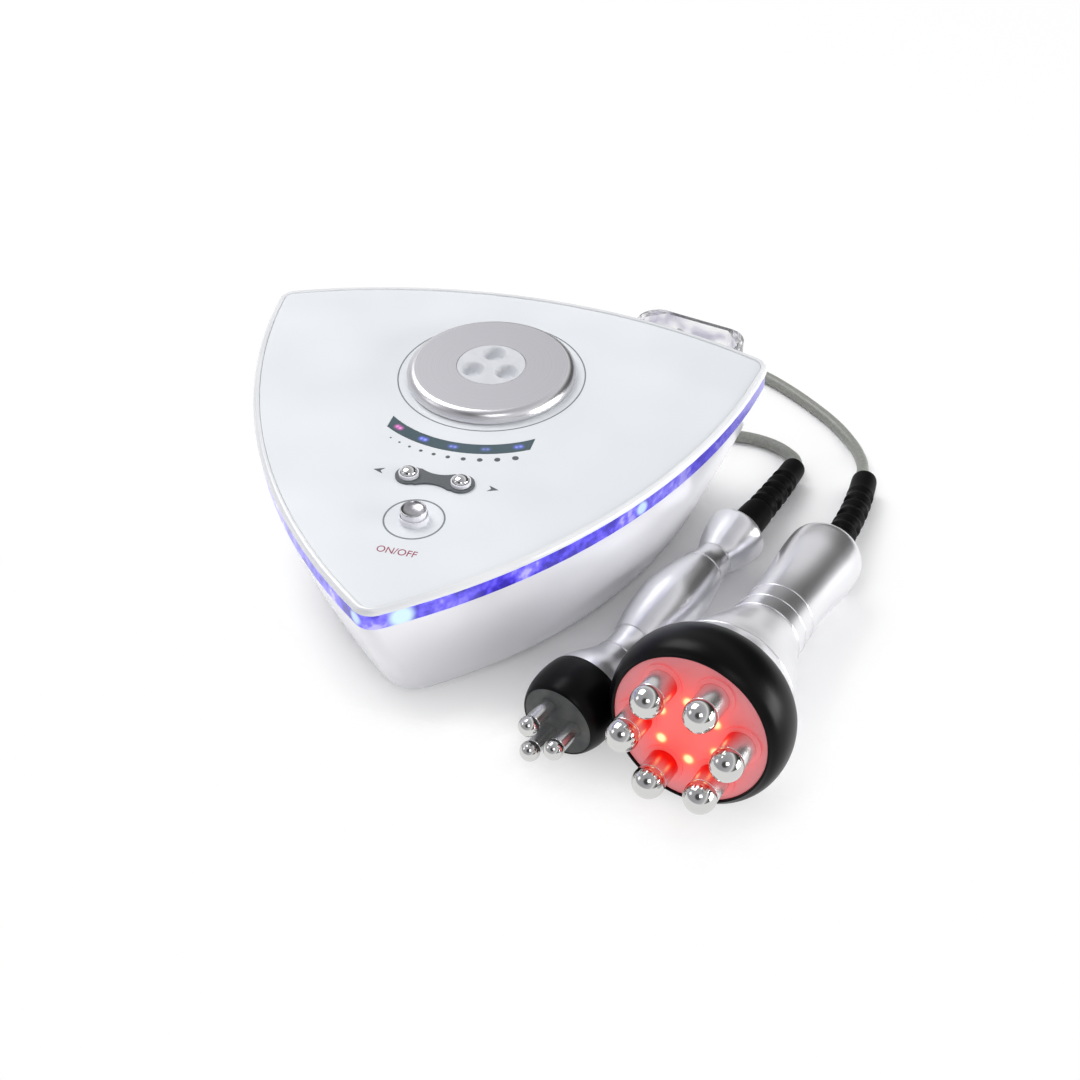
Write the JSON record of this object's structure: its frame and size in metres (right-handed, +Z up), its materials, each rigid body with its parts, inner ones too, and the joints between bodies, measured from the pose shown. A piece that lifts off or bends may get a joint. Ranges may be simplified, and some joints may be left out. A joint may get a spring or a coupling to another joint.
{
  "type": "facial toning device",
  "caption": "Tabletop facial toning set: three-sided base with lit rim, parking disc and push buttons, a clear holder, and two corded handpieces with ball-tipped electrodes.",
  "frame": {"origin": "middle of the set's footprint on the table (base unit and both handpieces as they lie, without the cables)", "axes": "+Z up; -Y towards the user, the way the base's single front corner points; +X to the right, where the handpieces lie"},
  "size_m": [0.3168, 0.3494, 0.0862],
  "materials": {
    "bezel": "polished collar",
    "black_plastic": "moulded",
    "cable_grey": "flexible PVC",
    "capacitor_sleeve": "shrunk sleeve",
    "chrome": "polished plating",
    "circuit_board": "solder resist",
    "clear_holder": "clear moulded acrylic",
    "copper_winding": "enamelled wire",
    "core_steel": "laminated steel",
    "dark_window": "smoked window",
    "dock_insert": "moulded, smooth",
    "face_grey": "satin",
    "foot_rubber": "moulded, matt",
    "handle_silver": "satin silver lacquer",
    "head_black": "gloss black",
    "heatsink_aluminium": "extruded, anodised",
    "housing_white": "moulded ABS, polished",
    "indicator_led": "clear epoxy",
    "key_plate": "satin",
    "led_strip": "flexible LED strip",
    "light_diffuser": "translucent diffuser, lit violet",
    "lit_face": "translucent red, lit from behind",
    "panel_white": "lacquered flat panel",
    "plated_pin": "nickel plated",
    "relief_black": "moulded flexible PVC",
    "satin_disc": "satin face, polished rim",
    "steel_screw": "zinc plated",
    "tie_black": "hook and loop",
    "wire_insulation": "soft PVC"
  },
  "bodies": {
    "base": {"lower_housing": "housing_white", "rubber_feet": "foot_rubber", "housing_screws": "steel_screw", "rear_panel": "housing_white", "light_ring": "light_diffuser", "light_strip": "led_strip", "top_cover": "housing_white", "top_panel": "panel_white", "dock_disc": "satin_disc", "dock_insert": "dock_insert", "level_window": "dark_window", "level_leds": "indicator_led", "key_plate": "key_plate", "button_bezels": "bezel", "control_pcb": "circuit_board", "tact_switches": "black_plastic", "main_pcb": "circuit_board", "board_screws": "steel_screw", "dock_screws": "steel_screw", "transformer_core": "core_steel", "transformer_coil": "copper_winding", "heatsink": "heatsink_aluminium", "power_transistors": "black_plastic", "capacitors": "capacitor_sleeve", "output_coil": "copper_winding", "wiring_harness": "wire_insulation", "mains_inlet": "black_plastic", "inlet_pins": "plated_pin", "handpiece_sockets": "plated_pin", "socket_nuts": "plated_pin", "handpiece_holder": "clear_holder", "holder_screws": "steel_screw", "small_plug": "plated_pin", "small_cable": "cable_grey", "small_cable_coil": "cable_grey", "small_cable_tie": "tie_black", "big_plug": "plated_pin", "big_cable": "cable_grey", "big_cable_coil": "cable_grey", "big_cable_tie": "tie_black"},
    "power_button_body": {"power_button": "chrome"},
    "intensity_down_body": {"intensity_down_button": "chrome"},
    "intensity_up_body": {"intensity_up_button": "chrome"},
    "small_handpiece": {"small_tail_shell": "handle_silver", "small_grip": "handle_silver", "small_cone": "handle_silver", "small_head": "head_black", "small_face": "face_grey", "small_electrodes": "chrome", "small_board": "circuit_board", "small_inner_cable": "wire_insulation", "small_relief": "relief_black"},
    "large_handpiece": {"big_grip": "handle_silver", "big_flare": "handle_silver", "big_head_ring": "head_black", "big_face": "lit_face", "big_electrodes": "chrome", "big_led_board": "circuit_board", "big_inner_cable": "wire_insulation", "big_relief": "relief_black"}
  },
  "joints": [
    {"name": "power_press", "type": "slide", "parent": "base", "child": "power_button_body", "axis": [0, 0, -1], "range_m": [0, 0.001], "stiffness_N_per_m": 400, "springref_m": -0.001},
    {"name": "intensity_down_press", "type": "slide", "parent": "base", "child": "intensity_down_body", "axis": [0, 0, -1], "range_m": [0, 0.001], "stiffness_N_per_m": 400, "springref_m": -0.001},
    {"name": "intensity_up_press", "type": "slide", "parent": "base", "child": "intensity_up_body", "axis": [0, 0, -1], "range_m": [0, 0.001], "stiffness_N_per_m": 400, "springref_m": -0.001},
    {"name": "small_handpiece_lift", "type": "slide", "parent": "base", "child": "small_handpiece", "axis": [-0.2006, -0.8026, 0.5618], "range_m": [0, 0.12]},
    {"name": "large_handpiece_lift", "type": "slide", "parent": "base", "child": "large_handpiece", "axis": [0, 0, 1], "range_m": [0, 0.12]}
  ]
}
